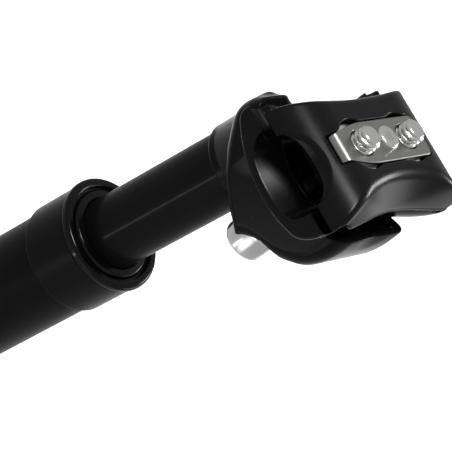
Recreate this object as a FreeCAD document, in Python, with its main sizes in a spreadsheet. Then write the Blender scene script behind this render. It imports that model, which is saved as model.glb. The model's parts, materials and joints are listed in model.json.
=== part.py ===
"""Telescopic suspension seatpost with a two-bolt saddle clamp.

Millimetres.  Origin: centre of the outer tube's bottom end.  +Z runs up the post, +X points to the
front of the bicycle and +Y to its left.  The clamp has its own frame, set back from the post's axis
and leaning forwards, with its origin midway between the rails, x along them and z square to them.
"""
import FreeCAD, Part
import math
import os
import Sketcher
from FreeCAD import Placement, Rotation, Vector

DIMENSIONS = {
    # outer tube, which a bicycle's seat tube holds
    "post_radius": 13.6,
    "post_bore": 11.3,
    "outer_length": 261.7,
    "thread_radius": 12.8,
    "thread_start": 255.65,
    # collar, wiper and bushings at its top
    "collar_radius": 14.65,
    "collar_start": 255.7,
    "collar_chamfer": 1.0,
    "collar_top": 270.7,
    "seal_top": 273.1,
    "upper_bushing_start": 236.7,
    "bushing_flange": 1.6,
    "running_gap": 0.06,
    # inner tube and what rides on its lower end
    "stem_radius": 9.3,
    "stem_bore": 7.3,
    "stem_start": 190.0,
    "stem_top": 333.0,
    "lower_bushing_start": 203.0,
    "lower_bushing_length": 24.0,
    "key_width": 2.6,
    "key_reach": 12.15,
    "travel": 40.0,
    # spring and preload
    "spring_start": 31.0,
    "spring_end": 186.0,
    "spring_radius": 8.9,
    "wire_radius": 1.5,
    "spring_turns": 14.0,
    "seat_radius": 10.9,
    "pin_radius": 4.5,
    "plug_length": 13.0,
    "plug_hex": 8.0,
    "preload_travel": 5.0,
    # where the clamp stands
    "clamp_setback": 13.1,
    "clamp_height": 350.0,
    "clamp_lean": 10.0,
    # tilt: its axis lies above the rails
    "pivot_height": 20.0,
    "saddle_radius": 30.8,
    "saddle_gap": 0.3,
    "seat_arc_radius": 44.6,
    # head
    "neck_radius": 10.3,
    "neck_start": 317.6,
    "arm_radius": 18.5,
    "arm_half_width": 16.0,
    "slot_width": 6.8,
    # rail clamp
    "rail_radius": 3.5,
    "rail_spread": 22.0,
    "half_width": 26.0,
    "split_gap": 0.5,
    "trough_radius": 9.9,
    "trough_shift": 1.2,
    "lower_front": 18.5,
    "lower_rear": 15.3,
    "upper_reach": 16.1,
    "top_height": 8.8,
    "lip_height": 1.6,
    "flat_half_width": 13.0,
    "notch_radius": 10.3,
    "notch_offset": 31.4,
    # bolts
    "bolt_spread": 8.75,
    "bolt_radius": 3.0,
    "bolt_hole": 3.35,
    "bolt_tip": 12.3,
    "bolt_seat": 26.7,
    "head_radius": 5.0,
    "bolt_head": 6.0,
    "bolt_hex": 5.0,
    "washer_radius": 5.6,
    # nut plate
    "plate_floor": 7.3,
    "plate_thickness": 1.6,
    "plate_half_width": 5.4,
    "plate_front_end": 17.2,
    "plate_back_end": 14.9,
    "well_radius": 6.5,
    "well_floor": 3.5,
    "screw_head_radius": 3.05,
    "screw_radius": 1.9,
}

doc = FreeCAD.newDocument("suspension_seatpost")
sheet = doc.addObject("Spreadsheet::Sheet", "dims")
for row, (alias, number) in enumerate(DIMENSIONS.items(), start=1):
    sheet.set(f"A{row}", alias)
    sheet.set(f"B{row}", str(number))
    sheet.setAlias(f"B{row}", alias)
doc.recompute()

PARTS = []


def value(text):
    """The number that an expression on the sheet stands for."""
    result = sheet.evalExpression(text)
    return float(getattr(result, "Value", result))


def size(alias):
    return float(sheet.get(alias))


CLAMP_FRAME = Placement(
    Vector(-size("clamp_setback"), 0, size("clamp_height")),
    Rotation(Vector(0, 1, 0), size("clamp_lean")),
)


def in_clamp(x=0.0, y=0.0, z=0.0):
    return CLAMP_FRAME.multiply(Placement(Vector(x, y, z), Rotation()))


def new_body(label, placement=None):
    body = doc.addObject("PartDesign::Body", label)
    body.Label = label
    if placement is not None:
        body.Placement = placement
    PARTS.append(body)
    return body


def new_sketch(body, plane, lift=None, offset=None):
    """A sketch on one of the body's origin planes, lifted along its normal or moved by an offset."""
    sketch = body.newObject("Sketcher::SketchObject", body.Label + "_sketch")
    support = [item for item in body.Origin.OriginFeatures if item.Role == plane + "_Plane"][0]
    sketch.AttachmentSupport = [(support, "")]
    sketch.MapMode = "FlatFace"
    if offset is not None:
        sketch.AttachmentOffset = offset
    if lift is not None:
        sketch.setExpression("AttachmentOffset.Base.z", lift)
    return sketch


def bind(sketch, kind, places, text):
    index = sketch.addConstraint(Sketcher.Constraint(kind, *places, value(text)))
    sketch.setExpression(f"Constraints[{index}]", text)


def arc_between(start, end, radius):
    """The short arc from start to end; a positive radius turns left, a negative one right."""
    chord = end - start
    middle = (start + end) * 0.5
    side = Vector(-chord.y, chord.x, 0).normalize()
    rise = math.sqrt(radius * radius - chord.Length ** 2 / 4)
    centre = middle + side * math.copysign(rise, radius)
    first, last = (start, end) if radius > 0 else (end, start)
    circle = Part.Circle(centre, Vector(0, 0, 1), abs(radius))
    angles = [math.atan2(point.y - centre.y, point.x - centre.x) for point in (first, last)]
    if angles[1] < angles[0]:
        angles[1] += 2 * math.pi
    return Part.ArcOfCircle(circle, *angles)


def outline(sketch, corners):
    """A closed outline.  Each corner is (x, y), or (x, y, radius) where an arc leaves it."""
    first = sketch.GeometryCount
    points = [Vector(value(corner[0]), value(corner[1]), 0) for corner in corners]
    ends = []
    for index, corner in enumerate(corners):
        start, end = points[index], points[(index + 1) % len(points)]
        if len(corner) == 2:
            sketch.addGeometry(Part.LineSegment(start, end))
            ends.append((1, 2))
        else:
            radius = value(corner[2])
            sketch.addGeometry(arc_between(start, end, radius))
            ends.append((1, 2) if radius > 0 else (2, 1))
    for index, corner in enumerate(corners):
        piece, following = first + index, first + (index + 1) % len(corners)
        start = ends[index][0]
        sketch.addConstraint(
            Sketcher.Constraint("Coincident", piece, ends[index][1], following, ends[following - first][0])
        )
        bind(sketch, "DistanceX", (-1, 1, piece, start), corner[0])
        bind(sketch, "DistanceY", (-1, 1, piece, start), corner[1])
        if len(corner) == 3:
            bind(sketch, "Radius", (piece,), f"abs({corner[2]})")


def circle(sketch, x, y, radius):
    index = sketch.addGeometry(Part.Circle(Vector(value(x), value(y), 0), Vector(0, 0, 1), value(radius)))
    bind(sketch, "DistanceX", (-1, 1, index, 3), x)
    bind(sketch, "DistanceY", (-1, 1, index, 3), y)
    bind(sketch, "Radius", (index,), radius)


def rectangle(sketch, left, right, bottom, top):
    outline(sketch, [(left, bottom), (right, bottom), (right, top), (left, top)])


def hexagon(sketch, across_flats):
    corner = f"{across_flats} / sqrt(3)"
    turns = [(f"{corner} * cos({60 * step} deg)", f"{corner} * sin({60 * step} deg)") for step in range(6)]
    outline(sketch, turns)


def feature(body, kind, sketch, length=None, reverse=False, symmetric=False):
    """Pad, Pocket, Revolution or Groove made from a sketch."""
    made = body.newObject("PartDesign::" + kind, body.Label + "_" + kind.lower())
    made.Profile = sketch
    if kind in ("Revolution", "Groove"):
        made.ReferenceAxis = (sketch, ["V_Axis"])
        made.Angle = 360
    else:
        made.setExpression("Length", length)
        made.SideType = "Symmetric" if symmetric else "One side"
        made.Reversed = reverse
    sketch.Visibility = False
    doc.recompute()
    return made


def turned(label, corners, placement=None):
    """A body of revolution about its own z axis, from the (radius, height) corners of its section."""
    body = new_body(label, placement)
    sketch = new_sketch(body, "XZ")
    outline(sketch, corners)
    feature(body, "Revolution", sketch)
    return body


def cut(body, plane, draw, length, lift=None, reverse=False, symmetric=True, offset=None):
    """A pocket that must take something away."""
    before = body.Shape.Volume
    sketch = new_sketch(body, plane, lift, offset)
    draw(sketch)
    feature(body, "Pocket", sketch, length, reverse, symmetric)
    if not body.Shape.Volume < before - 1e-6:
        raise RuntimeError(f"{body.Label}: a pocket cut nothing")


def ring(label, inner, outer, bottom, top):
    return turned(label, [(inner, bottom), (outer, bottom), (outer, top), (inner, top)])


# --- the parts that stay in the bicycle's frame -------------------------------------------------


def make_outer_tube():
    body = turned("outer_tube", [
        ("dims.post_bore", "0"),
        ("dims.post_radius", "0"),
        ("dims.post_radius", "dims.thread_start"),
        ("dims.thread_radius", "dims.thread_start"),
        ("dims.thread_radius", "dims.outer_length"),
        ("dims.post_bore", "dims.outer_length"),
    ])
    for turn in (0, 120, 240):
        cut(
            body, "XY",
            lambda sketch: rectangle(
                sketch, "dims.post_bore - 1", "dims.key_reach + 0.1", "-dims.key_width / 2 - 0.05",
                "dims.key_width / 2 + 0.05",
            ),
            "dims.upper_bushing_start", reverse=True, symmetric=False,
            offset=Placement(Vector(), Rotation(Vector(0, 0, 1), turn)),
        )


def make_collar():
    turned("collar", [
        ("dims.thread_radius + 0.02", "dims.collar_start"),
        ("dims.collar_radius - dims.collar_chamfer", "dims.collar_start"),
        ("dims.collar_radius", "dims.collar_start + dims.collar_chamfer"),
        ("dims.collar_radius", "dims.collar_top"),
        ("dims.collar_radius - 2.6", "dims.collar_top"),
        ("dims.collar_radius - 2.6", "dims.collar_top - 3"),
        ("dims.stem_radius + 1", "dims.collar_top - 3"),
        ("dims.stem_radius + 1", "dims.outer_length + dims.bushing_flange"),
        ("dims.thread_radius + 0.02", "dims.outer_length + dims.bushing_flange"),
    ])


def make_wiper_seal():
    """Rubber ring: a bead over the collar's rim, a groove, and a lip that wipes the stem."""
    turned("wiper_seal", [
        ("dims.stem_radius + dims.running_gap", "dims.collar_top - 2"),
        ("dims.stem_radius + 0.9", "dims.collar_top - 2.95"),
        ("dims.collar_radius - 2.65", "dims.collar_top - 2.95"),
        ("dims.collar_radius - 2.65", "dims.collar_top + 0.05"),
        ("dims.collar_radius - 0.3", "dims.collar_top + 0.05"),
        ("dims.collar_radius + 0.45", "dims.collar_top + 1.1", "1.3"),
        ("dims.collar_radius - 1.9", "dims.seal_top - 0.4"),
        ("dims.collar_radius - 2.3", "dims.collar_top + 0.9"),
        ("dims.stem_radius + 2.6", "dims.collar_top + 0.9"),
        ("dims.stem_radius + 2.3", "dims.seal_top"),
        ("dims.stem_radius + 1.2", "dims.seal_top"),
        ("dims.stem_radius + dims.running_gap", "dims.collar_top + 1"),
    ])


def make_upper_bushing():
    turned("upper_bushing", [
        ("dims.stem_radius + dims.running_gap", "dims.upper_bushing_start"),
        ("dims.post_bore - 0.02", "dims.upper_bushing_start"),
        ("dims.post_bore - 0.02", "dims.outer_length + 0.02"),
        ("dims.thread_radius - 0.1", "dims.outer_length + 0.02"),
        ("dims.thread_radius - 0.1", "dims.outer_length + dims.bushing_flange - 0.02"),
        ("dims.stem_radius + dims.running_gap", "dims.outer_length + dims.bushing_flange - 0.02"),
    ])


def make_top_out_bumper():
    """Rubber ring that the lower bushing meets when the stem is fully out."""
    ring(
        "top_out_bumper", "dims.stem_radius + 0.35", "dims.post_bore - 0.1",
        "dims.lower_bushing_start + dims.lower_bushing_length + 0.05", "dims.upper_bushing_start - 0.05",
    )


# --- preload adjuster and spring ----------------------------------------------------------------


def make_preload_plug():
    body = turned("preload_plug", [
        ("0", "0.6"),
        ("dims.post_bore - 0.6", "0.6"),
        ("dims.post_bore - 0.06", "1.2"),
        ("dims.post_bore - 0.06", "0.6 + dims.plug_length"),
        ("3", "0.6 + dims.plug_length"),
        ("3", "dims.spring_start - 6"),
        ("0", "dims.spring_start - 6"),
    ])
    cut(body, "XY", lambda sketch: hexagon(sketch, "dims.plug_hex"), "16")


def make_lower_spring_seat():
    turned("lower_spring_seat", [
        ("3.2", "dims.spring_start - 9"),
        ("dims.seat_radius - 4", "dims.spring_start - 9"),
        ("dims.seat_radius", "dims.spring_start - 4"),
        ("dims.seat_radius", "dims.spring_start"),
        ("dims.pin_radius", "dims.spring_start"),
        ("dims.pin_radius", "dims.spring_start + 14"),
        ("0", "dims.spring_start + 14"),
        ("0", "dims.spring_start - 5.8"),
        ("3.2", "dims.spring_start - 5.8"),
    ])


def make_damper_rod():
    """Elastomer rod inside the spring; it meets the upper seat's pin at full travel and preload."""
    top = "dims.spring_end - 12 - dims.travel - dims.preload_travel - 1"
    turned("damper_rod", [
        ("0", "dims.spring_start + 14.1"),
        ("dims.pin_radius + 0.8", "dims.spring_start + 14.1"),
        ("dims.pin_radius + 0.8", top),
        ("0", top),
    ])


def make_main_spring():
    """Round wire wound at an even pitch; its ends stand clear of the seats by the wire's radius."""
    wire = size("wire_radius")
    bottom = size("spring_start") + wire + 0.1
    height = size("spring_end") - size("spring_start") - 2 * wire - 0.2
    helix = Part.makeHelix(height / size("spring_turns"), height, size("spring_radius"))
    start = Vector(size("spring_radius"), 0, 0)
    heading = Vector(0, 2 * math.pi * size("spring_radius"), height / size("spring_turns"))
    section = Part.Wire([Part.makeCircle(wire, start, heading)])
    coil = Part.Wire(helix.Edges).makePipeShell([section], True, True)
    spring = doc.addObject("Part::Feature", "main_spring")
    spring.Shape = coil
    spring.Placement = Placement(Vector(0, 0, bottom), Rotation())
    PARTS.append(spring)


def make_upper_spring_seat():
    turned("upper_spring_seat", [
        ("0", "dims.spring_end - 12"),
        ("dims.pin_radius", "dims.spring_end - 12"),
        ("dims.pin_radius", "dims.spring_end"),
        ("dims.seat_radius", "dims.spring_end"),
        ("dims.seat_radius", "dims.stem_start"),
        ("dims.stem_bore - 0.02", "dims.stem_start"),
        ("dims.stem_bore - 0.02", "dims.stem_start + 10"),
        ("0", "dims.stem_start + 10"),
    ])


# --- the sprung stem ----------------------------------------------------------------------------


def make_inner_tube():
    ring("inner_tube", "dims.stem_bore", "dims.stem_radius", "dims.stem_start + 0.02", "dims.stem_top")


def make_lower_bushing():
    bottom = "dims.lower_bushing_start"
    top = "dims.lower_bushing_start + dims.lower_bushing_length"
    body = ring("lower_bushing", "dims.stem_radius + 0.02", "dims.post_bore - dims.running_gap", bottom, top)
    for turn in (0, 120, 240):
        cut(
            body, "XY",
            lambda sketch: rectangle(
                sketch, "dims.stem_radius + 0.5", "dims.post_bore + 1", "-dims.key_width / 2 - 0.02",
                "dims.key_width / 2 + 0.02",
            ),
            "dims.lower_bushing_length - 6", lift=bottom + " + 3", reverse=True, symmetric=False,
            offset=Placement(Vector(), Rotation(Vector(0, 0, 1), turn)),
        )


def make_guide_keys():
    """Three keys that stop the stem from turning, in pockets of the lower bushing."""
    body = new_body("guide_keys")
    for turn in (0, 120, 240):
        sketch = new_sketch(
            body, "XY", "dims.lower_bushing_start + 3.02",
            Placement(Vector(), Rotation(Vector(0, 0, 1), turn)),
        )
        rectangle(sketch, "dims.stem_radius + 0.55", "dims.key_reach", "-dims.key_width / 2", "dims.key_width / 2")
        feature(body, "Pad", sketch, "dims.lower_bushing_length - 6.04")


def make_retaining_ring():
    ring(
        "retaining_ring", "dims.stem_radius + 0.02", "dims.stem_radius + 1.4",
        "dims.lower_bushing_start - 1.8", "dims.lower_bushing_start - 0.02",
    )


def make_head():
    """Forged head: a neck over the stem that flares into the arm under the clamp."""
    body = new_body("head")
    in_plane = Placement(
        Vector(-size("clamp_setback"), size("clamp_height"), 0),
        Rotation(Vector(0, 0, 1), -size("clamp_lean")),
    )
    neck = new_sketch(body, "XZ")
    outline(neck, [
        ("0", "dims.neck_start"),
        ("dims.neck_radius - 0.7", "dims.neck_start"),
        ("dims.neck_radius", "dims.neck_start + 1"),
        ("dims.neck_radius", "dims.stem_top + 5"),
        ("0", "dims.stem_top + 5"),
    ])
    feature(body, "Revolution", neck)
    flare = body.newObject("PartDesign::AdditiveLoft", "head_flare")
    lower = new_sketch(body, "XY", "dims.neck_start + 3")
    circle(lower, "0", "0", "dims.neck_radius - 0.1")
    upper = new_sketch(body, "XY", "dims.stem_top + 3")
    outline(upper, [
        ("-dims.neck_radius - 2", "-dims.arm_half_width + 4", "4"),
        ("-dims.neck_radius + 2", "-dims.arm_half_width"),
        ("dims.neck_radius - 6", "-dims.arm_half_width - 1", "7"),
        ("dims.neck_radius + 0.5", "-dims.neck_radius + 1"),
        ("dims.neck_radius + 0.5", "dims.neck_radius - 1", "7"),
        ("dims.neck_radius - 6", "dims.arm_half_width + 1"),
        ("-dims.neck_radius + 2", "dims.arm_half_width", "4"),
        ("-dims.neck_radius - 2", "dims.arm_half_width - 4"),
    ])
    flare.Profile = lower
    flare.Sections = [upper]
    flare.Ruled = True
    doc.recompute()
    arm = new_sketch(body, "XZ", offset=in_plane)
    outline(arm, [
        ("21.8", "-1.6"),
        ("20.2", "-1.6", "-dims.saddle_radius - 0.6"),
        ("-16.6", "-6", "30"),
        ("-17.1", "-8.4", "dims.arm_radius"),
        ("8", "-25.4"),
        ("25.2", "-11"),
    ])
    feature(body, "Pad", arm, "2 * dims.arm_half_width", symmetric=True)
    through = "4 * dims.half_width"
    cut(body, "XZ", lambda sketch: circle(
        sketch, "0", "dims.pivot_height", "dims.saddle_radius + dims.saddle_gap"), through, offset=in_plane)
    for side in ("", "-"):
        cut(body, "XY", lambda sketch: outline(sketch, plan_wedge(side)), "2 * dims.clamp_height + 80")
        middle = f"{side}dims.bolt_spread"
        cut(body, "XY", lambda sketch: rectangle(
            sketch, "-14.2", "6.8", f"{middle} - dims.slot_width / 2", f"{middle} + dims.slot_width / 2",
        ), "4 * dims.half_width", offset=CLAMP_FRAME)
        cut(body, "XZ", lambda sketch: outline(sketch, [
            ("-18", "-60"),
            ("9.2", "-60"),
            ("9.2", "dims.pivot_height - sqrt(dims.seat_arc_radius ^ 2 - 9.2 ^ 2)", "-dims.seat_arc_radius"),
            ("-18", "dims.pivot_height - sqrt(dims.seat_arc_radius ^ 2 - 18 ^ 2)"),
        ]), "2 * dims.washer_radius + 0.6", lift=middle, offset=in_plane)
    cut(body, "XY", lambda sketch: rectangle(sketch, "18", "26", "-9.3", "9.3"), "12",
        reverse=True, symmetric=False, offset=in_clamp(z=-4.5))
    cut(body, "XY", lambda sketch: circle(sketch, "0", "0", "dims.stem_radius + 0.02"),
        "dims.stem_top - dims.neck_start + 2.02", lift="dims.neck_start - 2", reverse=True, symmetric=False)


def plan_wedge(side):
    """What the arm's plan leaves off on one side: it narrows from the front to the rear."""
    corners = [("-50", "8.8"), ("12", "dims.arm_half_width + 1.2"), ("12", "40"), ("-50", "40")]
    if side:
        corners = [(x, f"-({y})") for x, y in reversed(corners)]
    return corners


# --- the rail clamp -----------------------------------------------------------------------------


def cut_rails_and_bolts(body):
    through = "4 * dims.half_width"
    for side in ("", "-"):
        cut(body, "YZ", lambda sketch: circle(
            sketch, f"{side}dims.rail_spread", "0", "dims.rail_radius"), through)
        cut(body, "XY", lambda sketch: circle(
            sketch, "0", f"{side}dims.bolt_spread", "dims.bolt_hole"), through)


def make_lower_clamp():
    body = new_body("lower_clamp", CLAMP_FRAME)
    block = new_sketch(body, "XZ")
    rise = "dims.pivot_height - sqrt(dims.saddle_radius ^ 2 - {0} ^ 2)"
    outline(block, [
        ("dims.lower_front", "-dims.split_gap"),
        ("-dims.lower_rear", "-dims.split_gap"),
        ("-dims.lower_rear", rise.format("dims.lower_rear"), "dims.saddle_radius"),
        ("dims.lower_front", rise.format("dims.lower_front")),
    ])
    feature(body, "Pad", block, "2 * dims.half_width", symmetric=True)
    cut(body, "XZ", lambda sketch: circle(
        sketch, "dims.trough_shift", "dims.split_gap", "dims.trough_radius"), "4 * dims.half_width")
    cut_rails_and_bolts(body)


def subtract_cone(body, x, waist, slope):
    """A cone on a vertical axis at x, which leaves the block's top edge at the given waist."""
    cone = body.newObject("PartDesign::SubtractiveCone", body.Label + "_scoop")
    reach = f"abs({x}) - {waist}"
    cone.setExpression("Radius1", f"{reach} - {slope} * dims.top_height")
    cone.setExpression("Radius2", f"{reach} + {slope} * 0.5")
    cone.setExpression("Height", "dims.top_height + 0.5")
    cone.setExpression("Placement.Base.x", x)
    doc.recompute()


def make_upper_clamp():
    """Highest in the middle, falling to thin lips over the rails, waisted front and rear."""
    body = new_body("upper_clamp", CLAMP_FRAME)
    fall = "(dims.top_height - dims.lip_height)"
    run = "(dims.half_width - dims.flat_half_width)"
    crown = f"({run} ^ 2 + {fall} ^ 2) / (2 * {fall})"
    section = new_sketch(body, "YZ")
    outline(section, [
        ("-dims.half_width", "dims.split_gap"),
        ("dims.half_width", "dims.split_gap"),
        ("dims.half_width", "dims.lip_height", crown),
        ("dims.flat_half_width", "dims.top_height"),
        ("-dims.flat_half_width", "dims.top_height", crown),
        ("-dims.half_width", "dims.lip_height"),
    ])
    feature(body, "Pad", section, "2 * dims.upper_reach", symmetric=True)
    subtract_cone(body, "-52", "9.3", 0.57)
    subtract_cone(body, "92", "11.8", 0.38)
    for side in ("", "-"):
        cut(body, "XY", lambda sketch: circle(
            sketch, "0", f"{side}dims.notch_offset", "dims.notch_radius"), "4 * dims.half_width")
    cut_rails_and_bolts(body)
    for side in ("", "-"):
        cut(body, "XY", lambda sketch: circle(sketch, "0", f"{side}dims.bolt_spread", "dims.well_radius"),
            "10", lift="dims.well_floor", reverse=True, symmetric=False)
    cut(body, "XY", lambda sketch: rectangle(
        sketch, "-dims.plate_half_width - 0.3", "dims.plate_half_width + 0.3",
        "-dims.plate_back_end - 0.3", "dims.plate_front_end + 0.4",
    ), "10", lift="dims.plate_floor", reverse=True, symmetric=False)
    cut(body, "XY", lambda sketch: rectangle(
        sketch, "-3.7", "3.7", "dims.plate_front_end - 0.8", "dims.plate_front_end + 1.6",
    ), "10", lift="dims.plate_floor - 2.4", reverse=True, symmetric=False)
    cut(body, "XY", lambda sketch: circle(sketch, "0", "0", "dims.screw_radius + 0.02"),
        "10", lift="2", reverse=True, symmetric=False)


def make_nut_plate():
    """Spring steel plate; its left end is narrowed and bent down into the clamp."""
    body = new_body("nut_plate", CLAMP_FRAME)
    plate = new_sketch(body, "XY", "dims.plate_floor")
    half = "dims.plate_half_width"
    outline(plate, [
        (f"-{half}", "-dims.plate_back_end + 1", "1"),
        (f"-{half} + 1", "-dims.plate_back_end"),
        (f"{half} - 1", "-dims.plate_back_end", "1"),
        (half, "-dims.plate_back_end + 1"),
        (half, "dims.plate_front_end - 4.3", "6"),
        ("3.3", "dims.plate_front_end"),
        ("-3.3", "dims.plate_front_end", "6"),
        (f"-{half}", "dims.plate_front_end - 4.3"),
    ])
    feature(body, "Pad", plate, "dims.plate_thickness")
    tab = new_sketch(body, "XY", "dims.plate_floor - 1.9")
    rectangle(tab, "-3.3", "3.3", "dims.plate_front_end - 0.6", "dims.plate_front_end + 1")
    feature(body, "Pad", tab, "dims.plate_thickness + 1.9")
    through = "4 * dims.half_width"
    for side in ("", "-"):
        cut(body, "XY", lambda sketch: circle(sketch, "0", f"{side}dims.bolt_spread", "dims.bolt_hole"), through)
    cut(body, "XY", lambda sketch: circle(sketch, "0", "0", "dims.screw_radius + 0.02"), through)


def make_plate_screw():
    body = turned("plate_screw", [
        ("0", "2.4"),
        ("dims.screw_radius", "2.4"),
        ("dims.screw_radius", "dims.plate_floor + dims.plate_thickness + 0.02"),
        ("dims.screw_head_radius", "dims.plate_floor + dims.plate_thickness + 0.02"),
        ("dims.screw_head_radius", "dims.plate_floor + dims.plate_thickness + 1.3"),
        ("dims.screw_head_radius - 0.5", "dims.plate_floor + dims.plate_thickness + 1.7"),
        ("0", "dims.plate_floor + dims.plate_thickness + 1.7"),
    ], CLAMP_FRAME)
    cut(body, "XY", lambda sketch: hexagon(sketch, "2"), "4",
        lift="dims.plate_floor + dims.plate_thickness + 0.5", reverse=True, symmetric=False)


def make_bolt_stacks():
    """A bolt, the curved washer under its head and the round nut pressed into the plate."""
    for side, word in ((1, "left"), (-1, "right")):
        place = in_clamp(y=side * size("bolt_spread"))
        head_end = "-dims.bolt_seat - dims.bolt_head"
        bolt = turned("clamp_bolt_" + word, [
            ("0", head_end),
            ("dims.head_radius - 0.7", head_end),
            ("dims.head_radius", head_end + " + 0.7"),
            ("dims.head_radius", "-dims.bolt_seat"),
            ("dims.bolt_radius", "-dims.bolt_seat"),
            ("dims.bolt_radius", "dims.bolt_tip - 0.6"),
            ("dims.bolt_radius - 0.6", "dims.bolt_tip"),
            ("0", "dims.bolt_tip"),
        ], place)
        cut(bolt, "XY", lambda sketch: hexagon(sketch, "dims.bolt_hex"), "dims.bolt_head",
            lift=head_end + " + 3", symmetric=False)
        washer = turned("curved_washer_" + word, [
            ("dims.bolt_hole", "-dims.bolt_seat + 0.02"),
            ("dims.washer_radius", "-dims.bolt_seat + 0.02"),
            ("dims.washer_radius", "-dims.bolt_seat + 3.5"),
            ("dims.bolt_hole", "-dims.bolt_seat + 3.5"),
        ], place)
        cut(washer, "XZ", lambda sketch: circle(
            sketch, "0", "dims.pivot_height", "dims.seat_arc_radius + 0.3"), "4 * dims.washer_radius")
        turned("clinch_nut_" + word, [
            ("dims.bolt_radius + dims.running_gap", "dims.well_floor + 0.05"),
            ("dims.well_radius - 0.35", "dims.well_floor + 0.05"),
            ("dims.well_radius - 0.35", "dims.plate_floor - 0.02"),
            ("dims.bolt_radius + dims.running_gap", "dims.plate_floor - 0.02"),
        ], place)


def check_document():
    doc.recompute()
    for item in doc.Objects:
        if "Invalid" in item.State or "Error" in item.State:
            raise RuntimeError(f"{item.Label} failed: {item.State}")
    for part in PARTS:
        if part.Shape.isNull() or not part.Shape.isValid():
            raise RuntimeError(f"{part.Label}: its shape is null or not valid")


def export_parts():
    os.makedirs("parts", exist_ok=True)
    for part in PARTS:
        part.Shape.exportStep(f"parts/{part.Label}.step")
        box = part.Shape.BoundBox
        print(
            f"{part.Label:20s} solids {len(part.Shape.Solids)} volume {part.Shape.Volume:9.1f}"
            f"  x {box.XMin:7.2f} {box.XMax:7.2f}  y {box.YMin:7.2f} {box.YMax:7.2f}"
            f"  z {box.ZMin:7.2f} {box.ZMax:7.2f}"
        )


make_outer_tube()
make_collar()
make_wiper_seal()
make_upper_bushing()
make_top_out_bumper()
make_preload_plug()
make_lower_spring_seat()
make_damper_rod()
make_main_spring()
make_upper_spring_seat()
make_inner_tube()
make_lower_bushing()
make_guide_keys()
make_retaining_ring()
make_head()
make_lower_clamp()
make_upper_clamp()
make_nut_plate()
make_plate_screw()
make_bolt_stacks()
check_document()
export_parts()
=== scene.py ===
"""The looks of a suspension seatpost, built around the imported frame.

Shapes are worked out in millimetres, in the frame's axes or in the rail clamp's own (x forward along the
rails, y to the left, z away from the post), and become metres when a mesh is made.
"""
import json
import math

import bpy
import numpy as np
from mathutils import Matrix, Vector


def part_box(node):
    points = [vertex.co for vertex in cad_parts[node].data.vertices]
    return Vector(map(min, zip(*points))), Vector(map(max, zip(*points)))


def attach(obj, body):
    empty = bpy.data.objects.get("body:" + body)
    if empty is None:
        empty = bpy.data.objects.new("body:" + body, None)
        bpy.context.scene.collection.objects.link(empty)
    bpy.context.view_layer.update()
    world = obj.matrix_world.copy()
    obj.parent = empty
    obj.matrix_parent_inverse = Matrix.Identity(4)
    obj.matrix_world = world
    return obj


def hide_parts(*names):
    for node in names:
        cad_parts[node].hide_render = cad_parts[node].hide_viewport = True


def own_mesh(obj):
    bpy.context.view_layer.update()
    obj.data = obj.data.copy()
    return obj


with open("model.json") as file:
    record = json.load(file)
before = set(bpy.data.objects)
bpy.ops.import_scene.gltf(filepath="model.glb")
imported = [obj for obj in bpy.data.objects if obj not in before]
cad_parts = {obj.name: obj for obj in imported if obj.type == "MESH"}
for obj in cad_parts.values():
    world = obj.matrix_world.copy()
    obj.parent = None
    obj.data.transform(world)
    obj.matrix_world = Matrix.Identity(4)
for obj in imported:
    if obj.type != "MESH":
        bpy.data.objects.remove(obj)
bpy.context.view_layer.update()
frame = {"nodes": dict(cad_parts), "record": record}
MM = 0.001
RAIL_MIDDLE = 1.6  # how far forward of the clamp's centre the middle of the rail mounts lies


# --- sizes read from the frame ------------------------------------------------------------------


def box_mm(node):
    low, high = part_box(node)
    return np.array(low) / MM, np.array(high) / MM


def radius_of(node):
    return box_mm(node)[1][1]


def clamp_matrix():
    """The clamp's axes, from the two rail mounts; the middle of their length is off its centre."""
    rails = {mount["name"]: mount for mount in frame["record"]["mounts"] if mount["name"].startswith("rail")}
    along = Vector(rails["rail_left"]["axis"])
    centre = (Vector(rails["rail_left"]["pos_m"]) + Vector(rails["rail_right"]["pos_m"])) / 2
    lean = math.atan2(-along.z, along.x)
    return Matrix.Translation(centre - along * RAIL_MIDDLE * MM) @ Matrix.Rotation(lean, 4, "Y")


CLAMP = clamp_matrix()
LEAN = math.asin(-CLAMP[2][0])
UPRIGHT = Matrix.Identity(4)

POST_RADIUS = radius_of("outer_tube")
POST_TOP = box_mm("collar")[0][2]
STEM_RADIUS = radius_of("inner_tube")
COLLAR_TOP = box_mm("collar")[1][2]
COLLAR_RADIUS = radius_of("collar")
SEAL_TOP = box_mm("wiper_seal")[1][2]
NECK_START = box_mm("head")[0][2]

# --- sizes of the rail clamp and the head, in the clamp's axes ------------------------------------

HALF_WIDTH = 25.4  # the CAD's clamp has 26.0
SPLIT = 0.6  # the cap starts this far above the rails' middle; the cradle ends 0.2 further below it
PIVOT = 20.0  # height of the axis that the clamp rocks about
SADDLE = 30.8  # radius of the cradle's underside about that axis
SADDLE_GAP = 0.3
RAIL_SPREAD = 22.0  # from the middle to each rail
RAIL_RADIUS = 3.1  # of the drawn grooves; the CAD's have 3.5
TOP = 8.8

BOLT_SPREAD = 8.75  # from the middle to each bolt
BOLT_HOLE = 3.35
BOLT_TIP = 12.3
BOLT_SEAT = 26.7
BOLT_RADIUS = 3.0
HEAD_RADIUS = 5.4  # the CAD's bolt heads have 5.0
SOCKET = 6.0  # across flats; the CAD's have 5.0

PLATE_FLOOR = 7.3
PLATE_TOP = 8.9
PLATE_HALF_WIDTH = 5.4
PLATE_REAR = 14.9
TAB_HALF_WIDTH = 3.35
WELL_RADIUS = 6.5
WELL_FLOOR = 3.5

ARM_REAR = 17.65
ARM_HALF_WIDTH = 17.6
NECK_RADIUS = STEM_RADIUS + 1.0
NECK_HEIGHT = 22.0
BORE_END = 333.0  # height in the row frame where the head's bore for the stem ends


# --- solids as fields: negative inside, positive outside, about a distance in millimetres ---------


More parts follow.
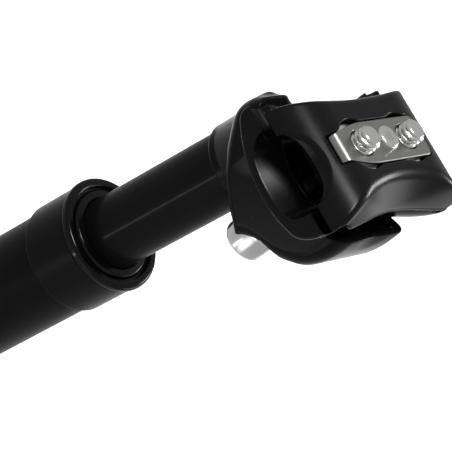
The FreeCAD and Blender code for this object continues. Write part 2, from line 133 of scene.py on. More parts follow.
def keep(a, b, radius):
    """What is inside both, with the edge between them rounded."""
    rounded = np.hypot(np.maximum(radius + a, 0), np.maximum(radius + b, 0))
    return np.minimum(-radius, np.maximum(a, b)) + rounded


def join(a, b, radius):
    """What is inside either, with the corner between them filled."""
    rounded = np.hypot(np.maximum(radius - a, 0), np.maximum(radius - b, 0))
    return np.maximum(radius, np.minimum(a, b)) - rounded


def carve(a, b, radius):
    """What is inside the first and outside the second."""
    return keep(a, -b, radius)


def plane(across, along, through, normal):
    """A straight side of an outline: outside is where the normal points."""
    length = math.hypot(*normal)
    return ((across - through[0]) * normal[0] + (along - through[1]) * normal[1]) / length


def cone(x, y, z, axis, reach, slope):
    """Inside a cone on an upright axis; its radius at the clamp's top is reach, and grows upwards."""
    radius = reach + slope * (z - TOP)
    return (np.hypot(x - axis, y) - radius) / math.hypot(1, slope)


def upright(x, z):
    """Height and distance forward in the row frame, for a place in the clamp's axes."""
    origin = CLAMP.translation / MM
    height = origin.z - x * math.sin(LEAN) + z * math.cos(LEAN)
    forward = origin.x + x * math.cos(LEAN) + z * math.sin(LEAN)
    return height, forward


def rails_and_bolts(solid, x, side, z):
    """Cuts the rail grooves and the bolt holes."""
    solid = carve(solid, np.hypot(side - RAIL_SPREAD, z) - RAIL_RADIUS, 0.35)
    return carve(solid, np.hypot(x, side - BOLT_SPREAD) - BOLT_HOLE, 0.3)


def lower_clamp_field(x, y, z):
    """The cradle: a round underside, waisted front and back, and a trough that grows shallow at its ends."""
    side = np.abs(y)
    from_pivot = np.hypot(x, z - PIVOT)
    front, rear = 18.5, 15.3
    solid = keep(from_pivot - SADDLE, x - front, 1.3)
    solid = keep(solid, -x - rear, 4.5)
    rear_waist = 40.5 - np.hypot(x + 52.0, y)
    front_waist = 33.1 - np.hypot(x - 46.6, y)
    solid = keep(keep(solid, rear_waist, 3.0), front_waist, 3.0)
    solid = keep(solid, z + SPLIT + 0.2, 0.5)
    solid = keep(solid, side - HALF_WIDTH, 0.7)
    drafted_end = plane(side, z, (HALF_WIDTH, -4.2), (10.0, 1.2))
    solid = keep(solid, drafted_end, 0.3)
    walls = keep(x - 11.9, -9.5 - x, 1.0)
    shelf = keep(from_pivot - 25.2 - 0.46 * (side - 17.5), walls, 4.0)
    solid = carve(solid, shelf, 0.6)
    middle = side - 17.6
    trough = keep(keep(from_pivot - 28.9, walls, 3.0), middle, 1.0)
    solid = carve(solid, trough, 0.5)
    return rails_and_bolts(solid, x, side, z)


def upper_clamp_field(x, y, z):
    """The cap: crowned to the sides, scooped front and back, notched at its ends, with the plate's seat."""
    side = np.abs(y)
    flat, crown = 12.3, 15.3
    shoulder = np.hypot(side - flat, z - (TOP - crown)) - crown
    solid = np.where(side > flat, shoulder, z - TOP)
    solid = keep(solid, SPLIT - z, 0.5)
    front_scoop = -cone(x, y, z, 150.0, 138.6, 0.38)
    solid = keep(solid, keep(front_scoop, x - 15.4, 3.0), 1.0)
    rear_scoop = -cone(x, y, z, -52.0, 43.2, 0.78)
    rear_end = -(17.2 - 0.25 * z) - x
    solid = keep(solid, keep(rear_scoop, rear_end, 3.0), 1.6)
    solid = keep(solid, side - HALF_WIDTH, 0.6)
    end_notch = np.hypot(x + 0.4, side - 32.4) - 11.4
    solid = carve(solid, end_notch, 0.8)
    well = keep(np.hypot(x, side - BOLT_SPREAD) - WELL_RADIUS, WELL_FLOOR - z, 0.2)
    solid = carve(solid, well, 0.35)
    around = plate_outline(np.abs(x), y) - 0.3
    solid = carve(solid, keep(around, PLATE_FLOOR - z, 0.2), 0.3)
    tab_slot = keep(np.abs(x) - 3.7, np.abs(y - 16.5) - 1.5, 0.4)
    solid = carve(solid, keep(tab_slot, 5.0 - z, 0.2), 0.3)
    screw_hole = keep(np.hypot(x, y) - 2.0, 2.0 - z, 0.2)
    solid = carve(solid, screw_hole, 0.2)
    return rails_and_bolts(solid, x, side, z)


def arm_field(x, side, z):
    """The head's arm: a disc seen from the side, with a nose in front that ends in a chin."""
    chin = (24.0, -11.0)
    disc = np.hypot(x - 0.3, z + 8.6) - 18.6
    nose = keep(plane(x, z, chin, (9.4, 3.9)), z + 2.5, 1.8)
    nose = keep(nose, plane(x, z, chin, (14.4, -17.2)), 3.0)
    nose = keep(nose, -x, 0.1)
    section = join(disc, nose, 5.0)
    half_width = np.minimum(15.8 + 0.14 * x, ARM_HALF_WIDTH)
    plan = keep(side - half_width, -x - ARM_REAR, 5.0)
    return keep(section, plan, 4.0)


def head_field(x, y, z):
    """The forged head: the arm on a neck that flares sideways, cut for the cradle, the bolts and the stem.

    The arm's front edge is lowered from the right side to past the middle, and stands full on the left.
    """
    side = np.abs(y)
    up, out = upright(x, z)
    from_pivot = np.hypot(x, z - PIVOT)
    flare = NECK_RADIUS + 0.36 * np.maximum(up - NECK_START - 2.5, 0)
    neck = np.hypot(out, y * NECK_RADIUS / flare) - NECK_RADIUS
    neck = keep(neck, np.abs(up - NECK_START - NECK_HEIGHT / 2) - NECK_HEIGHT / 2, 0.8)
    solid = join(arm_field(x, side, z), neck, 4.0)
    solid = carve(solid, from_pivot - SADDLE - SADDLE_GAP, 0.6)
    slot = keep(np.abs(side - BOLT_SPREAD) - 3.4, np.abs(x + 3.7) - 10.5, 3.3)
    solid = carve(solid, slot, 0.5)
    washer_seat = keep(np.abs(side - BOLT_SPREAD) - 5.75, np.abs(x + 4.4) - 13.6, 1.0)
    washer_seat = keep(washer_seat, 44.6 - from_pivot, 0.2)
    solid = carve(solid, washer_seat, 0.2)
    lowered_front = keep(y - 7.0, -plane(x, z, (17.3, -3.0), (6.0, 4.0)), 7.0)
    solid = carve(solid, lowered_front, 2.0)
    rear_scoop = np.hypot(x + 31.0, y) - (14.5 + 0.25 * (z + 7.0))
    solid = carve(solid, rear_scoop, 1.2)
    stem_bore = keep(np.hypot(out, y) - STEM_RADIUS - 0.02, up - BORE_END, 0.1)
    return carve(solid, stem_bore, 0.3)


def plate_outline(across, along):
    """The plate's outline before it is bent: round corners behind, and a narrower tab in front."""
    outline = keep(across - PLATE_HALF_WIDTH, -PLATE_REAR - along, 1.6)
    taper = plane(across, along, (TAB_HALF_WIDTH, 16.6), (4.3, 2.3))
    outline = keep(outline, taper, 3.5)
    outline = join(outline, across - TAB_HALF_WIDTH, 1.0)
    return keep(outline, np.maximum(-PLATE_REAR - along, along - 18.6), 0.7)


def nut_plate_field(x, y, z):
    """A plate whose left end is narrowed and bent down; unrolled is the length along its middle."""
    bend_at, bend_in = 15.3, 0.4
    half = (PLATE_TOP - PLATE_FLOOR) / 2
    bend = bend_in + half
    centre = PLATE_FLOOR - bend_in
    angle = np.arctan2(y - bend_at, z - centre)
    flat = np.abs(z - PLATE_FLOOR - half) - half + 0 * y
    curl = np.abs(np.hypot(y - bend_at, z - centre) - bend) - half
    leg = np.abs(y - bend_at - bend) - half + 0 * z
    sheet = np.where(y <= bend_at, flat, np.where(z > centre, curl, leg))
    past_bend = np.where(z > centre, bend_at + bend * angle, bend_at + bend * math.pi / 2 + centre - z)
    unrolled = np.where(y <= bend_at, y + 0 * z, past_bend)
    solid = keep(sheet, plate_outline(np.abs(x), unrolled), 0.3)
    solid = carve(solid, np.hypot(x, np.abs(y) - BOLT_SPREAD) - BOLT_HOLE, 0.25)
    return carve(solid, np.hypot(x, y) - 1.95, 0.1)


# --- meshes from fields -------------------------------------------------------------------------


def surface_net(field, low, high, step):
    """Quads around the field's zero surface, one corner to a cell that the surface crosses."""
    ticks = [np.arange(lo - 1.5 * step, hi + 2.5 * step, step) for lo, hi in zip(low, high)]
    shape = [len(tick) for tick in ticks]
    values = field(ticks[0][:, None, None], ticks[1][None, :, None], ticks[2][None, None, :])
    values = np.broadcast_to(values, shape)
    inside = values < 0
    cells = tuple(size - 1 for size in shape)
    total = np.zeros(cells + (3,))
    count = np.zeros(cells)
    crossings = []
    for axis in range(3):
        first = [slice(None)] * 3
        second = [slice(None)] * 3
        first[axis] = slice(0, -1)
        second[axis] = slice(1, None)
        a, b = values[tuple(first)], values[tuple(second)]
        crossed = inside[tuple(first)] != inside[tuple(second)]
        share = np.where(crossed, a / np.where(crossed, a - b, 1), 0)
        crossings.append((crossed, inside[tuple(first)]))
        others = [other for other in range(3) if other != axis]
        for shift_a in (0, 1):
            for shift_b in (0, 1):
                part = [slice(None)] * 3
                part[others[0]] = slice(shift_a, shift_a + cells[others[0]])
                part[others[1]] = slice(shift_b, shift_b + cells[others[1]])
                hit = crossed[tuple(part)]
                total[..., axis] += hit * share[tuple(part)]
                total[..., others[0]] += hit * shift_a
                total[..., others[1]] += hit * shift_b
                count += hit
    live = count > 0
    number = np.full(cells, -1)
    number[live] = np.arange(live.sum())
    corner = np.stack(np.meshgrid(*[np.arange(size) for size in cells], indexing="ij"), -1)[live]
    start = np.array([tick[0] for tick in ticks])
    verts = start + step * (corner + total[live] / count[live][:, None])
    quads = [net_quads(number, axis, *crossings[axis]) for axis in range(3)]
    return verts, np.concatenate(quads)


def net_quads(number, axis, crossed, inside_first):
    """One quad round each crossed edge along an axis, through the four cells that share the edge."""
    others = [other for other in range(3) if other != axis]
    trimmed = [slice(None)] * 3
    for other in others:
        trimmed[other] = slice(1, -1)
    hit = crossed[tuple(trimmed)]
    outward = inside_first[tuple(trimmed)][hit]
    place = np.argwhere(hit)
    for other in others:
        place[:, other] += 1
    ring = []
    for shift_a, shift_b in ((1, 1), (0, 1), (0, 0), (1, 0)):
        cell = place.copy()
        cell[:, others[0]] -= shift_a
        cell[:, others[1]] -= shift_b
        ring.append(number[tuple(cell.T)])
    ring = np.stack(ring, -1)
    flip = outward if axis != 1 else ~outward
    ring[~flip] = ring[~flip][:, ::-1]
    return ring


def slope_of(field, points, reach=0.02):
    """The field's gradient, by differences."""
    slope = np.empty_like(points)
    for axis in range(3):
        step = np.zeros(3)
        step[axis] = reach
        slope[:, axis] = (field(*(points + step).T) - field(*(points - step).T)) / (2 * reach)
    return slope


def settle(field, points, limit):
    """Moves points onto the zero surface, and gives them with their outward normals."""
    for _ in range(4):
        slope = slope_of(field, points)
        steep = np.maximum((slope ** 2).sum(1), 0.05)
        move = slope * (field(*points.T) / steep)[:, None]
        size = np.linalg.norm(move, axis=1)
        move *= np.minimum(1, limit / np.maximum(size, 1e-9))[:, None]
        points = points - move
    slope = slope_of(field, points, 0.05)
    return points, slope / np.maximum(np.linalg.norm(slope, axis=1), 1e-9)[:, None]


def make_object(name, points, faces, normals, matrix, per_loop=False):
    """A smooth mesh object from points in millimetres, carried into the row frame by the matrix."""
    turn = np.array(matrix.to_3x3())
    points = points @ turn.T * MM + np.array(matrix.translation)
    mesh = bpy.data.meshes.new(name)
    mesh.from_pydata(points.tolist(), [], faces if isinstance(faces, list) else faces.tolist())
    mesh.polygons.foreach_set("use_smooth", np.ones(len(mesh.polygons), bool))
    if normals is not None:
        normals = normals @ turn.T
        if per_loop:
            mesh.normals_split_custom_set(normals.tolist())
        else:
            mesh.normals_split_custom_set_from_vertices(normals.tolist())
    mesh.update()
    made = bpy.data.objects.new(name, mesh)
    bpy.context.scene.collection.objects.link(made)
    return made


def sculpted(name, field, low, high, step):
    """A forged or pressed piece, from its field in the clamp's axes."""
    step = step * 1.0
    points, quads = surface_net(field, low, high, step)
    points, normals = settle(field, points, step / 2)
    return make_object(name, points, quads, normals, CLAMP)


# --- turned pieces ------------------------------------------------------------------------------


def rounded_profile(corners):
    """Stretches ((r, z), normal) to ((r, z), normal) round a closed profile.

    Each corner is (r, z, rounding).  The profile runs anticlockwise with r across and z up.
    """
    places = [np.array(corner[:2], float) for corner in corners]
    arcs = []
    for index, corner in enumerate(corners):
        here = places[index]
        back = places[index - 1] - here
        ahead = places[(index + 1) % len(places)] - here
        back_length, ahead_length = np.linalg.norm(back), np.linalg.norm(ahead)
        back, ahead = back / back_length, ahead / ahead_length
        arcs.append(corner_arc(here, back, ahead, corner[2], min(back_length, ahead_length) * 0.49))
    stretches = []
    for index, arc in enumerate(arcs):
        for first, second in zip(arc, arc[1:]):
            stretches.append((first, second))
        following = arcs[(index + 1) % len(arcs)][0]
        run = following[0] - arc[-1][0]
        side = np.array([run[1], -run[0]]) / np.linalg.norm(run)
        stretches.append(((arc[-1][0], side), (following[0], side)))
    return stretches


def corner_arc(here, back, ahead, rounding, room):
    """Points with normals on the arc that rounds one corner; one point where it stays sharp."""
    half_turn = math.acos(max(-1, min(1, float(back @ ahead)))) / 2
    set_back = min(rounding / math.tan(half_turn), room)
    if set_back < 1e-3:
        return [(here, None)]
    radius = set_back * math.tan(half_turn)
    start, end = here + back * set_back, here + ahead * set_back
    inward = (back + ahead) / np.linalg.norm(back + ahead)
    centre = here + inward * math.hypot(set_back, radius)
    convex = back[0] * ahead[1] - back[1] * ahead[0] < 0
    first = math.atan2(*(start - centre)[::-1])
    swing = math.atan2(*(end - centre)[::-1]) - first
    swing = (swing + math.pi) % (2 * math.pi) - math.pi
    count = max(3, math.ceil(abs(swing) / math.radians(13)))
    arc = []
    for step in range(count + 1):
        angle = first + swing * step / count
        ray = np.array([math.cos(angle), math.sin(angle)])
        arc.append((centre + ray * radius, ray if convex else -ray))
    return arc


def lathe(name, corners):
    """A closed ring turned about z from a rounded profile, with exact normals."""
    sides = 192
    stretches = rounded_profile(corners)
    count = len(stretches)
    angle = np.arange(sides) * 2 * math.pi / sides
    wheel = np.stack([np.cos(angle), np.sin(angle)], -1)
    points = np.empty((count, sides, 3))
    normals = np.empty((count, sides, 4, 3))
    for index, ((start, start_normal), (end, end_normal)) in enumerate(stretches):
        points[index, :, :2] = wheel * start[0]
        points[index, :, 2] = start[1]
        for corner, (normal, shift) in enumerate((
                (start_normal, 0), (start_normal, -1), (end_normal, -1), (end_normal, 0))):
            normals[index, :, corner, :2] = np.roll(wheel, shift, 0) * normal[0]
            normals[index, :, corner, 2] = normal[1]
    here = np.arange(sides)
    beside = np.roll(here, -1)
    faces = []
    for index in range(count):
        above = (index + 1) % count
        faces.append(np.stack([index * sides + here, index * sides + beside,
                               above * sides + beside, above * sides + here], -1))
    points, normals = points.reshape(-1, 3), normals.reshape(-1, 3)
    return make_object(name, points, np.concatenate(faces), normals, UPRIGHT, per_loop=True)


def skin(name, rings, matrix, sharp=38.0):
    """A capped solid through rings of (radii, height); radii may differ around the ring."""
    sides = len(rings[0][0])
    angle = np.arange(sides) * 2 * math.pi / sides
    points = [np.stack([radii * np.cos(angle), radii * np.sin(angle), np.full(sides, height)], -1)
              for radii, height in rings]
    points = np.concatenate(points + [[[0, 0, rings[0][1]], [0, 0, rings[-1][1]]]])
    here = np.arange(sides)
    beside = np.roll(here, -1)
    faces = []
    for index in range(len(rings) - 1):
        low, high = index * sides, (index + 1) * sides
        faces += np.stack([low + here, low + beside, high + beside, high + here], -1).tolist()
    first, last = len(points) - 2, len(points) - 1
    top = (len(rings) - 1) * sides
    faces += np.stack([beside, here, np.full(sides, first)], -1).tolist()
    faces += np.stack([top + here, top + beside, np.full(sides, last)], -1).tolist()
    made = make_object(name, points, faces, None, matrix)
    made.data.set_sharp_from_angle(angle=math.radians(sharp))
    return made


def hexagon(across_flats, sides):
    """Radii of a hexagon at even angles."""
    angle = np.arange(sides) * 360.0 / sides
    return across_flats / 2 / np.cos(np.radians((angle % 60) - 30))


def constant(radius, sides):
    return np.full(sides, float(radius))


def clamp_bolt(name, matrix):
    """Socket head, shank and a real helical thread that ends in a chamfer."""
    sides, pitch, depth = 72, 1.25, 0.85
    shank, thread_start = BOLT_RADIUS - 0.05, 3.2
    head_length, socket_depth = 6.6, 3.0
    head_end = -BOLT_SEAT - head_length
    socket_floor = head_end + socket_depth
    rings = [(hexagon(SOCKET, sides) * 0.35, socket_floor),
             (hexagon(SOCKET, sides), socket_floor),
             (hexagon(SOCKET, sides), head_end + 0.25),
             (hexagon(SOCKET + 0.5, sides), head_end),
             (constant(HEAD_RADIUS - 0.9, sides), head_end),
             (constant(HEAD_RADIUS - 0.35, sides), head_end + 0.15),
             (constant(HEAD_RADIUS - 0.12, sides), head_end + 0.5),
             (constant(HEAD_RADIUS, sides), head_end + 1.0),
             (constant(HEAD_RADIUS, sides), -BOLT_SEAT - 0.3),
             (constant(HEAD_RADIUS - 0.1, sides), -BOLT_SEAT),
             (constant(shank, sides), -BOLT_SEAT),
             (constant(shank, sides), 2.8),
             (constant(2.4, sides), 3.1)]
    angle = np.arange(sides) / sides
    height = thread_start
    while height < BOLT_TIP:
        phase = (height / pitch - angle) % 1
        ridge = np.clip(1.2 - 2.6 * np.abs(phase - 0.5), 0, 1)
        crest = BOLT_RADIUS - depth * (1 - ridge)
        chamfer = BOLT_RADIUS - 0.75 + (BOLT_TIP - height)
        rings.append((np.minimum(crest, chamfer), height))
        height += pitch / 12
    rings.append((constant(BOLT_RADIUS - 0.8, sides), BOLT_TIP - 0.02))
    rings.append((constant(1.9, sides), BOLT_TIP))
    return skin(name, rings, matrix, 50.0)


def screw(name, matrix):
    """Low round head with a hexagonal socket, in the middle of the plate."""
    sides, shank, head, socket = 72, 1.9, 3.05, 2.2
    seat = PLATE_TOP + 0.02
    top = PLATE_TOP + 1.68
    rings = [(constant(shank, sides), 2.4),
             (constant(shank, sides), seat),
             (constant(head, sides), seat),
             (constant(head, sides), PLATE_TOP + 1.0),
             (constant(2.98, sides), PLATE_TOP + 1.3),
             (constant(2.78, sides), PLATE_TOP + 1.52),
             (constant(2.4, sides), top - 0.02),
             (constant(2.0, sides), top),
             (hexagon(socket + 0.3, sides), top),
             (hexagon(socket, sides), top - 0.2),
             (hexagon(socket, sides), PLATE_TOP + 0.1),
             (hexagon(0.4, sides), PLATE_TOP - 1.2)]
    return skin(name, rings, matrix)


def coil_spring(name, radius, wire, turns, bottom, top):
    """Round wire wound at an even pitch, closed at both ends."""
    steps, around = int(turns * 40), 16
    middle = np.linspace(0, 1, steps + 1)
    turn = middle * turns * 2 * math.pi
    height = bottom + wire + (top - bottom - 2 * wire) * middle
    out = np.stack([np.cos(turn), np.sin(turn), 0 * turn], -1)
    along = np.stack([-np.sin(turn) * radius, np.cos(turn) * radius,
                      np.full(steps + 1, (top - bottom - 2 * wire) / (turns * 2 * math.pi))], -1)
    along /= np.linalg.norm(along, axis=1)[:, None]
    lift = np.cross(along, out)
    line = out * radius
    line[:, 2] = height
    angle = np.arange(around) * 2 * math.pi / around
    ring = np.cos(angle)[None, :, None] * out[:, None] - np.sin(angle)[None, :, None] * lift[:, None]
    points = (line[:, None] + wire * ring).reshape(-1, 3)
    here = np.arange(around)
    beside = np.roll(here, -1)
    faces = []
    for step in range(steps):
        low, high = step * around, (step + 1) * around
        faces += np.stack([low + here, low + beside, high + beside, high + here], -1).tolist()
    faces.append(here[::-1].tolist())
    faces.append((steps * around + here).tolist())
    made = make_object(name, points, faces, None, UPRIGHT)
    made.data.set_sharp_from_angle(angle=math.radians(50))
    return made


# --- finishes -----------------------------------------------------------------------------------


def finish(name, colour, roughness, metallic=0.0, specular=0.5, coat=0.0, grain_size=0.4, brushed=None,
           bump=0.02, tint=0.15):
    """A finish with fine grain in its roughness, colour and surface.

    The grain's size is in millimetres; brushed is the axis that it is stretched along.
    """
    grain = 0.04
    made = bpy.data.materials.new(name)
    made.use_nodes = True
    nodes, links = made.node_tree.nodes, made.node_tree.links
    shader = nodes["Principled BSDF"]
    shader.inputs["Metallic"].default_value = metallic
    shader.inputs["Specular IOR Level"].default_value = specular
    shader.inputs["Coat Weight"].default_value = coat
    shader.inputs["Coat Roughness"].default_value = 0.12
    place = nodes.new("ShaderNodeTexCoord")
    stretch = nodes.new("ShaderNodeMapping")
    scale = [1.0, 1.0, 1.0]
    if brushed is not None:
        scale[brushed] = 0.03
    stretch.inputs["Scale"].default_value = scale
    links.new(place.outputs["Object"], stretch.inputs["Vector"])
    noise = nodes.new("ShaderNodeTexNoise")
    noise.inputs["Scale"].default_value = 1.0 / (grain_size * MM)
    noise.inputs["Detail"].default_value = 4.0
    links.new(stretch.outputs["Vector"], noise.inputs["Vector"])
    rough = nodes.new("ShaderNodeMapRange")
    rough.inputs["To Min"].default_value = max(0.02, roughness - grain)
    rough.inputs["To Max"].default_value = roughness + grain
    links.new(noise.outputs["Fac"], rough.inputs["Value"])
    links.new(rough.outputs["Result"], shader.inputs["Roughness"])
    shades = nodes.new("ShaderNodeMix")
    shades.data_type = "RGBA"
    shades.inputs["A"].default_value = [channel * (1 - tint) for channel in colour] + [1]
    shades.inputs["B"].default_value = [channel * (1 + tint) for channel in colour] + [1]
    links.new(noise.outputs["Fac"], shades.inputs["Factor"])
    links.new(shades.outputs["Result"], shader.inputs["Base Color"])
    relief = nodes.new("ShaderNodeBump")
    relief.inputs["Strength"].default_value = bump
    relief.inputs["Distance"].default_value = 0.05 * MM
    links.new(noise.outputs["Fac"], relief.inputs["Height"])
    links.new(relief.outputs["Normal"], shader.inputs["Normal"])
    return made


FINISHES = {
    "anodised_black": finish("anodised_black", (0.006, 0.006, 0.007), 0.4, specular=0.05),
    "stem_black": finish("stem_black", (0.007, 0.007, 0.008), 0.4, specular=0.04, coat=0.08),
    "collar_black": finish("collar_black", (0.005, 0.005, 0.006), 0.34, specular=0.08),
    "forged_black": finish("forged_black", (0.004, 0.004, 0.005), 0.26,
                           specular=0.1, grain_size=0.9, bump=0.01),
    "clamp_black": finish("clamp_black", (0.004, 0.004, 0.005), 0.24,
                          specular=0.18, grain_size=0.9, bump=0.02),
    "seal_rubber": finish("seal_rubber", (0.003, 0.003, 0.003), 0.14, specular=0.2),
    "bumper_rubber": finish("bumper_rubber", (0.03, 0.03, 0.03), 0.7),
    "elastomer": finish("elastomer", (0.35, 0.06, 0.03), 0.4),
    "bushing_plastic": finish("bushing_plastic", (0.06, 0.06, 0.065), 0.45),
    "seat_plastic": finish("seat_plastic", (0.05, 0.05, 0.05), 0.45),
    "plug_aluminium": finish("plug_aluminium", (0.6, 0.6, 0.61), 0.3, metallic=1.0),
    "spring_steel": finish("spring_steel", (0.28, 0.28, 0.29), 0.3, metallic=1.0),
    "key_brass": finish("key_brass", (0.72, 0.52, 0.22), 0.25, metallic=1.0),
    "plate_steel": finish("plate_steel", (0.38, 0.375, 0.36), 0.3,
                          metallic=1.0, brushed=1, bump=0.06, tint=0.08),
    "bolt_zinc": finish("bolt_zinc", (0.86, 0.86, 0.85), 0.22, metallic=1.0, tint=0.06),
}


# --- the object's pieces ------------------------------------------------------------------------


def dress(made, slot, body, *nodes):
    """Gives a new piece its finish and its body, and hides the CAD nodes that it stands for."""
    made.data.materials.append(FINISHES[slot])
    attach(made, body)
    if nodes:
        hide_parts(*nodes)
    return made


def keep_cad_nodes():
    """Every carried-over CAD node takes the finish of its slot."""
    slots = {part["node"]: part["material_slot"] for part in frame["record"]["subparts"]}
    for node, made in frame["nodes"].items():
        made.data.materials.clear()
        made.data.materials.append(FINISHES[slots[node]])


def add_tubes():
    post_bore, thread, thread_top = 11.3, 12.8, POST_TOP + 5.95
    shoulder = POST_TOP - 0.05
    outer = [(post_bore, 0.0, 0.3), (POST_RADIUS, 0.0, 0.5), (POST_RADIUS, shoulder, 0.1),
             (thread, shoulder, 0.05), (thread, thread_top, 0.3), (post_bore, thread_top, 0.2)]
    dress(lathe("post_tube", outer), "anodised_black", "post", "outer_tube")
    low, high = box_mm("inner_tube")
    stem_bore = 7.3
    stem = [(stem_bore, low[2], 0.2), (STEM_RADIUS, low[2], 0.3),
            (STEM_RADIUS, high[2], 0.3), (stem_bore, high[2], 0.2)]
    dress(lathe("stem_tube", stem), "stem_black", "stem", "inner_tube")


def add_collar():
    """Screwed on the outer tube; a flange holds the bushing, and the seal sits in its mouth."""
    thread, chamfer = 12.82, 1.0
    mouth, mouth_floor = COLLAR_RADIUS - 2.6, COLLAR_TOP - 3
    flange, flange_bore = POST_TOP + 7.6, STEM_RADIUS + 1
    profile = [(thread, POST_TOP, 0.1), (COLLAR_RADIUS - chamfer, POST_TOP, 0.15),
               (COLLAR_RADIUS, POST_TOP + chamfer, 0.4), (COLLAR_RADIUS, COLLAR_TOP, 0.5),
               (mouth, COLLAR_TOP, 0.3), (mouth, mouth_floor, 0.1),
               (flange_bore, mouth_floor, 0.2), (flange_bore, flange, 0.2), (thread, flange, 0.1)]
    dress(lathe("threaded_collar", profile), "collar_black", "post", "collar")


def add_wiper_seal():
    """A broad round bead on the collar's rim, a groove, and a wiping lip against the stem."""
    rim, rest = COLLAR_TOP, COLLAR_TOP + 0.05
    foot, plug = COLLAR_TOP - 2.95, COLLAR_RADIUS - 2.65
    inner, outer = STEM_RADIUS + 0.06, COLLAR_RADIUS + 0.45
    room = outer - inner
    groove_out, groove_in, groove = outer - 0.42 * room, outer - 0.55 * room, rim + 1.1
    profile = [(inner, rim - 2.0, 0.15), (STEM_RADIUS + 0.9, foot, 0.2), (plug, foot, 0.1),
               (plug, rest, 0.1), (COLLAR_RADIUS - 0.3, rest, 0.2), (outer, rim + 0.3, 0.5),
               (outer, SEAL_TOP - 0.25, 1.3), (groove_out, SEAL_TOP, 0.9), (groove_out, groove, 0.15),
               (groove_in, groove, 0.15), (groove_in, SEAL_TOP - 0.9, 0.6),
               (groove_in - 0.5, SEAL_TOP - 0.25, 0.6), (inner + 0.5, SEAL_TOP, 0.5),
               (inner, SEAL_TOP - 0.3, 0.1)]
    dress(lathe("wiper_ring", profile), "seal_rubber", "post", "wiper_seal")


def add_head_and_clamps():
    """Each field is followed inside a box that holds the whole piece."""
    head = sculpted("forged_head", head_field, low=(-16.5, -18.3, -34.0), high=(30.0, 18.3, 0.0), step=0.4)
    dress(head, "forged_black", "stem", "head")
    cradle = sculpted("clamp_cradle", lower_clamp_field, low=(-15.3, -26.0, -10.8), high=(18.5, 26.0, -0.5),
                      step=0.38)
    dress(cradle, "clamp_black", "clamp", "lower_clamp")
    cap = sculpted("clamp_cap", upper_clamp_field, low=(-17.2, -26.0, 0.5), high=(15.4, 26.0, 8.8), step=0.36)
    dress(cap, "clamp_black", "clamp_top", "upper_clamp")


def add_plate_and_bolts():
    plate = sculpted("nut_bar", nut_plate_field, low=(-5.4, -14.9, 5.2), high=(5.4, 17.4, 8.9), step=0.22)
    dress(plate, "plate_steel", "clamp_top", "nut_plate")
    dress(screw("bar_screw", CLAMP), "bolt_zinc", "clamp_top", "plate_screw")
    for side, word in ((1, "left"), (-1, "right")):
        matrix = CLAMP @ Matrix.Translation((0, side * BOLT_SPREAD * MM, 0))
        dress(clamp_bolt("rail_bolt_" + word, matrix), "bolt_zinc", "bolt_" + word, "clamp_bolt_" + word)


def add_spring():
    """The coil runs from its lower seat up to its upper seat, and is carried with the preload seat."""
    lower_pin, upper_pin, travel = 9.1, 14.1, 40.0
    low = box_mm("lower_spring_seat")[0][2] + lower_pin
    high = box_mm("upper_spring_seat")[1][2] - upper_pin
    spring = coil_spring("coil_spring", radius=8.9, wire=1.5, turns=14, bottom=low, top=high)
    dress(spring, "spring_steel", "preload_seat", "main_spring")
    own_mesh(spring)


# --- floor, light and camera --------------------------------------------------------------------


def pale(name, colour):
    made = bpy.data.materials.new(name)
    made.use_nodes = True
    shader = made.node_tree.nodes["Principled BSDF"]
    shader.inputs["Base Color"].default_value = (*colour, 1)
    shader.inputs["Roughness"].default_value = 0.9
    shader.inputs["Specular IOR Level"].default_value = 0.1
    return made


def add_floor():
    half, level = 6.0, -0.0005
    corners = [(-half, -half, level), (half, -half, level), (half, half, level), (-half, half, level)]
    mesh = bpy.data.meshes.new("floor")
    mesh.from_pydata(corners, [], [(0, 1, 2, 3)])
    floor = bpy.data.objects.new("floor", mesh)
    bpy.context.scene.collection.objects.link(floor)
    mesh.materials.append(pale("floor_pale", (0.9, 0.9, 0.9)))


def add_softbox(name, place, aim, size, watts, spread):
    """A soft light at one place, aimed at another, both in metres; the camera doesn't see it."""
    light = bpy.data.lights.new(name, "AREA")
    light.shape = "RECTANGLE"
    light.size, light.size_y = size
    light.energy = watts
    light.spread = math.radians(spread)
    lamp = bpy.data.objects.new(name, light)
    lamp.location = place
    lamp.rotation_euler = (Vector(aim) - Vector(place)).to_track_quat("-Z", "Y").to_euler()
    lamp.visible_camera = False
    bpy.context.scene.collection.objects.link(lamp)


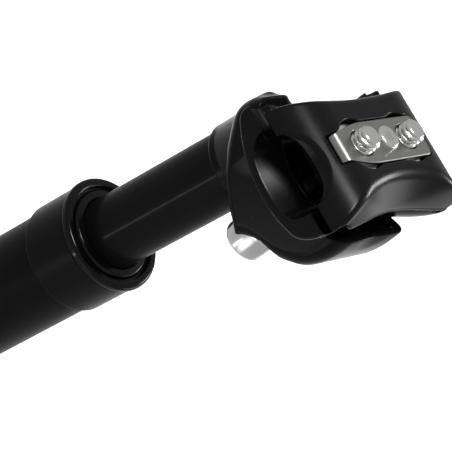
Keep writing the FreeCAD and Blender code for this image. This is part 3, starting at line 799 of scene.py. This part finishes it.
def add_lights():
    """Small lights near the floor and the clamp; places and aims are in metres."""
    clamp = (0.0, 0.0, 0.35)
    add_softbox("backdrop_light", (0.07, -0.46, 0.42), aim=(0.07, -0.42, 0.0), size=(0.5, 0.5),
                watts=1.5, spread=80)
    add_softbox("side_light", (-0.45, 0.1, 0.3), aim=(-0.25, 0.1, 0.0), size=(0.3, 0.5),
                watts=0.06, spread=90)
    add_softbox("stripe_light", (-0.07, 0.32, 0.05), aim=(0.0, 0.0, 0.29), size=(0.02, 0.16),
                watts=0.01, spread=60)
    add_softbox("bolt_light", (-0.2, 0.27, 0.19), aim=(0.0, 0.0, 0.36), size=(0.22, 0.2),
                watts=0.02, spread=60)
    add_softbox("top_light", (0.14, 0.07, 0.95), aim=clamp, size=(0.16, 0.16), watts=0.12, spread=40)
    add_softbox("rim_light", (-0.15, -0.8, 0.72), aim=clamp, size=(0.14, 0.14), watts=0.06, spread=40)
    add_softbox("rear_light", (-0.45, -0.55, 0.40), aim=clamp, size=(0.5, 0.3), watts=0.25, spread=90)


def add_world(strength):
    world = bpy.data.worlds.new("studio")
    world.use_nodes = True
    world.node_tree.nodes["Background"].inputs["Color"].default_value = (1, 1, 1, 1)
    world.node_tree.nodes["Background"].inputs["Strength"].default_value = strength
    bpy.context.scene.world = world


def add_camera(place, heading, tilt, roll, lens):
    """A camera at a place in metres; heading and tilt aim it, and roll turns it about its aim."""
    heading, tilt, roll = (math.radians(angle) for angle in (heading, tilt, roll))
    ahead = Vector((math.cos(heading) * math.cos(tilt), math.sin(heading) * math.cos(tilt), math.sin(tilt)))
    level = ahead.cross(Vector((0, 0, 1))).normalized()
    above = level.cross(ahead)
    right = level * math.cos(roll) + above * math.sin(roll)
    up = right.cross(ahead)
    camera = bpy.data.cameras.new("camera")
    camera.lens = lens
    camera.clip_start = 0.01
    made = bpy.data.objects.new("camera", camera)
    made.matrix_world = Matrix.Translation(place) @ Matrix((right, up, -ahead)).transposed().to_4x4()
    bpy.context.scene.collection.objects.link(made)
    bpy.context.scene.camera = made


keep_cad_nodes()
add_tubes()
add_collar()
add_wiper_seal()
add_head_and_clamps()
add_plate_and_bolts()
add_spring()
add_floor()
add_world(0.4)
add_lights()
add_camera((-0.0901, 0.4075, 0.6300), heading=-79.14, tilt=-37.87, roll=61.99, lens=175.2)
bpy.context.scene.view_settings.view_transform = "Standard"
